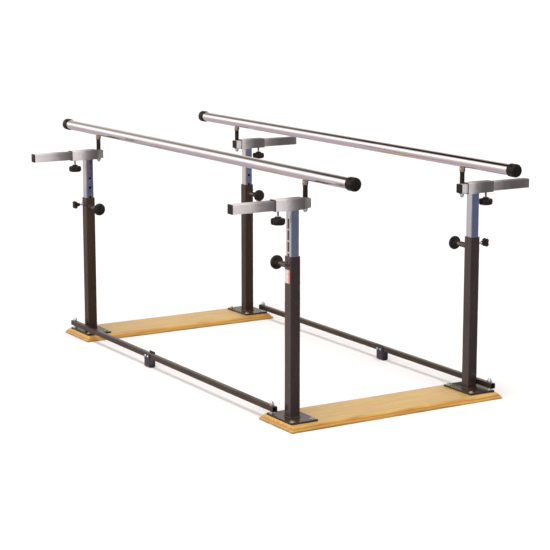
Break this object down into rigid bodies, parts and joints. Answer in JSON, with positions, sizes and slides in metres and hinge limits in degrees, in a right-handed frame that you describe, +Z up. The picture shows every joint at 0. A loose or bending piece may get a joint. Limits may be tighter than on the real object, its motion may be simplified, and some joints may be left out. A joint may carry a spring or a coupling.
{
  "type": "parallel bars",
  "caption": "Folding parallel bars for walking practice: handrails on height- and width-adjustable telescoping uprights, joined by folding floor stringers between timber base planks.",
  "frame": {"origin": "on the floor, midway between the rails and midway along them", "axes": "+X along the rails, +Y across the walkway, +Z up"},
  "size_m": [2.1336, 1.201, 0.8503],
  "materials": {
    "oak": "clear-lacquered light oak, bevelled edges",
    "bronze_paint": "dark bronze textured enamel on steel",
    "black_paint": "black enamel on steel",
    "yellow_zinc": "yellow zinc-plated steel",
    "bright_zinc": "bright zinc-plated steel",
    "chrome": "bright chrome-plated steel",
    "satin_steel": "brushed along its length",
    "rail_steel": "polished tube",
    "black_plastic": "moulded black plastic",
    "black_rubber": "soft black vinyl",
    "spring_steel": "hard-drawn wire"
  },
  "bodies": {
    "base_left": {"plank_left": "oak", "base_plates_left": "bronze_paint", "uprights_left": "bronze_paint", "lag_screws_left": "yellow_zinc", "lag_washers_left": "bright_zinc", "weld_fittings_left": "bronze_paint", "pivot_bolts_left": "bright_zinc", "pin_spring_nl": "spring_steel", "pin_spring_fl": "spring_steel"},
    "base_right": {"plank_right": "oak", "base_plates_right": "bronze_paint", "uprights_right": "bronze_paint", "lag_screws_right": "yellow_zinc", "lag_washers_right": "bright_zinc", "weld_fittings_right": "bronze_paint", "pivot_bolts_right": "bright_zinc", "pin_spring_nr": "spring_steel", "pin_spring_fr": "spring_steel"},
    "stringer_near": {"stringer_near": "bronze_paint", "stringer_foot_near": "black_paint", "foot_bolts_near": "bright_zinc"},
    "stringer_far": {"stringer_far": "bronze_paint", "stringer_foot_far": "black_paint", "foot_bolts_far": "bright_zinc"},
    "riser_nl": {"riser_nl": "chrome"},
    "arm_nl": {"arm_nl": "satin_steel", "arm_plugs_nl": "black_plastic"},
    "height_pin_nl": {"height_pin_nl": "black_plastic"},
    "clamp_screw_nl": {"clamp_screw_nl": "black_plastic"},
    "riser_nr": {"riser_nr": "chrome"},
    "arm_nr": {"arm_nr": "satin_steel", "arm_plugs_nr": "black_plastic"},
    "height_pin_nr": {"height_pin_nr": "black_plastic"},
    "clamp_screw_nr": {"clamp_screw_nr": "black_plastic"},
    "riser_fl": {"riser_fl": "chrome"},
    "arm_fl": {"arm_fl": "satin_steel", "arm_plugs_fl": "black_plastic"},
    "height_pin_fl": {"height_pin_fl": "black_plastic"},
    "clamp_screw_fl": {"clamp_screw_fl": "black_plastic"},
    "riser_fr": {"riser_fr": "chrome"},
    "arm_fr": {"arm_fr": "satin_steel", "arm_plugs_fr": "black_plastic"},
    "height_pin_fr": {"height_pin_fr": "black_plastic"},
    "clamp_screw_fr": {"clamp_screw_fr": "black_plastic"},
    "set_screw_nl": {"set_screw_nl": "black_plastic"},
    "set_screw_fr": {"set_screw_fr": "black_plastic"},
    "rail_near": {"rail_near": "rail_steel", "rail_caps_near": "black_rubber", "rail_lugs_near": "yellow_zinc", "rail_posts_near": "yellow_zinc", "clevis_pins_near": "yellow_zinc", "post_spacers_near": "black_plastic", "post_nuts_near": "bright_zinc"},
    "rail_far": {"rail_far": "rail_steel", "rail_caps_far": "black_rubber", "rail_lugs_far": "yellow_zinc", "rail_posts_far": "yellow_zinc", "clevis_pins_far": "yellow_zinc", "post_spacers_far": "black_plastic", "post_nuts_far": "bright_zinc"}
  },
  "joints": [
    {"name": "fold", "type": "hinge", "parent": "base_left", "child": "stringer_near", "pos_m": [-0.835, -0.4055, 0.0477], "axis": [0, 0, -1], "range_deg": [0, 80]},
    {"name": "fold_far_stringer", "type": "hinge", "parent": "base_left", "child": "stringer_far", "pos_m": [-0.705, 0.4055, 0.0477], "axis": [0, 0, -1], "range_deg": [0, 80]},
    {"name": "fold_right_base", "type": "hinge", "parent": "stringer_near", "child": "base_right", "pos_m": [0.705, -0.4055, 0.0477], "axis": [0, 0, -1], "range_deg": [-80, 0]},
    {"name": "height_near", "type": "slide", "parent": "base_left", "child": "riser_nl", "axis": [0, 0, 1], "range_m": [-0.1143, 0.1905]},
    {"name": "height_near_right", "type": "slide", "parent": "base_right", "child": "riser_nr", "axis": [0, 0, 1], "range_m": [-0.1143, 0.1905]},
    {"name": "width_near", "type": "slide", "parent": "riser_nl", "child": "arm_nl", "axis": [0, 1, 0], "range_m": [0, 0.1016]},
    {"name": "width_near_right", "type": "slide", "parent": "riser_nr", "child": "arm_nr", "axis": [0, 1, 0], "range_m": [0, 0.1016]},
    {"name": "fold_rail_near", "type": "hinge", "parent": "arm_nl", "child": "rail_near", "pos_m": [-0.77, -0.3177, 0.735], "axis": [0, 0, -1], "range_deg": [0, 80]},
    {"name": "height_far", "type": "slide", "parent": "base_left", "child": "riser_fl", "axis": [0, 0, 1], "range_m": [-0.1143, 0.1905]},
    {"name": "height_far_right", "type": "slide", "parent": "base_right", "child": "riser_fr", "axis": [0, 0, 1], "range_m": [-0.1143, 0.1905]},
    {"name": "width_far", "type": "slide", "parent": "riser_fl", "child": "arm_fl", "axis": [0, -1, 0], "range_m": [0, 0.1016]},
    {"name": "width_far_right", "type": "slide", "parent": "riser_fr", "child": "arm_fr", "axis": [0, -1, 0], "range_m": [0, 0.1016]},
    {"name": "fold_rail_far", "type": "hinge", "parent": "arm_fl", "child": "rail_far", "pos_m": [-0.77, 0.3177, 0.735], "axis": [0, 0, -1], "range_deg": [0, 80]},
    {"name": "height_pin_nl", "type": "slide", "parent": "base_left", "child": "height_pin_nl", "axis": [1, 0, 0], "range_m": [0, 0.012], "stiffness_N_per_m": 1500, "springref_m": -0.008, "deforming": ["pin_spring_nl"]},
    {"name": "clamp_screw_nl", "type": "hinge", "parent": "riser_nl", "child": "clamp_screw_nl", "pos_m": [-0.77, -0.4216, 0.683], "axis": [0, 0, 1], "range_deg": [0, 720]},
    {"name": "height_pin_nr", "type": "slide", "parent": "base_right", "child": "height_pin_nr", "axis": [-1, 0, 0], "range_m": [0, 0.012], "stiffness_N_per_m": 1500, "springref_m": -0.008, "deforming": ["pin_spring_nr"]},
    {"name": "clamp_screw_nr", "type": "hinge", "parent": "riser_nr", "child": "clamp_screw_nr", "pos_m": [0.77, -0.4216, 0.683], "axis": [0, 0, 1], "range_deg": [0, 720]},
    {"name": "height_pin_fl", "type": "slide", "parent": "base_left", "child": "height_pin_fl", "axis": [1, 0, 0], "range_m": [0, 0.012], "stiffness_N_per_m": 1500, "springref_m": -0.008, "deforming": ["pin_spring_fl"]},
    {"name": "clamp_screw_fl", "type": "hinge", "parent": "riser_fl", "child": "clamp_screw_fl", "pos_m": [-0.77, 0.4216, 0.683], "axis": [0, 0, 1], "range_deg": [0, 720]},
    {"name": "height_pin_fr", "type": "slide", "parent": "base_right", "child": "height_pin_fr", "axis": [-1, 0, 0], "range_m": [0, 0.012], "stiffness_N_per_m": 1500, "springref_m": -0.008, "deforming": ["pin_spring_fr"]},
    {"name": "clamp_screw_fr", "type": "hinge", "parent": "riser_fr", "child": "clamp_screw_fr", "pos_m": [0.77, 0.4216, 0.683], "axis": [0, 0, 1], "range_deg": [0, 720]},
    {"name": "set_screw_nl", "type": "hinge", "parent": "base_left", "child": "set_screw_nl", "pos_m": [-0.77, -0.42, 0.538], "axis": [0, 1, 0], "range_deg": [0, 720]},
    {"name": "set_screw_fr", "type": "hinge", "parent": "base_right", "child": "set_screw_fr", "pos_m": [0.77, 0.42, 0.538], "axis": [0, 1, 0], "range_deg": [0, 720]}
  ],
  "couplings": [
    {"joint": "fold_far_stringer", "follows": "fold", "ratio": 1},
    {"joint": "fold_right_base", "follows": "fold", "ratio": -1},
    {"joint": "height_near_right", "follows": "height_near", "ratio": 1},
    {"joint": "width_near_right", "follows": "width_near", "ratio": 1},
    {"joint": "fold_rail_near", "follows": "fold", "ratio": 1},
    {"joint": "height_far_right", "follows": "height_far", "ratio": 1},
    {"joint": "width_far_right", "follows": "width_far", "ratio": 1},
    {"joint": "fold_rail_far", "follows": "fold", "ratio": 1}
  ]
}
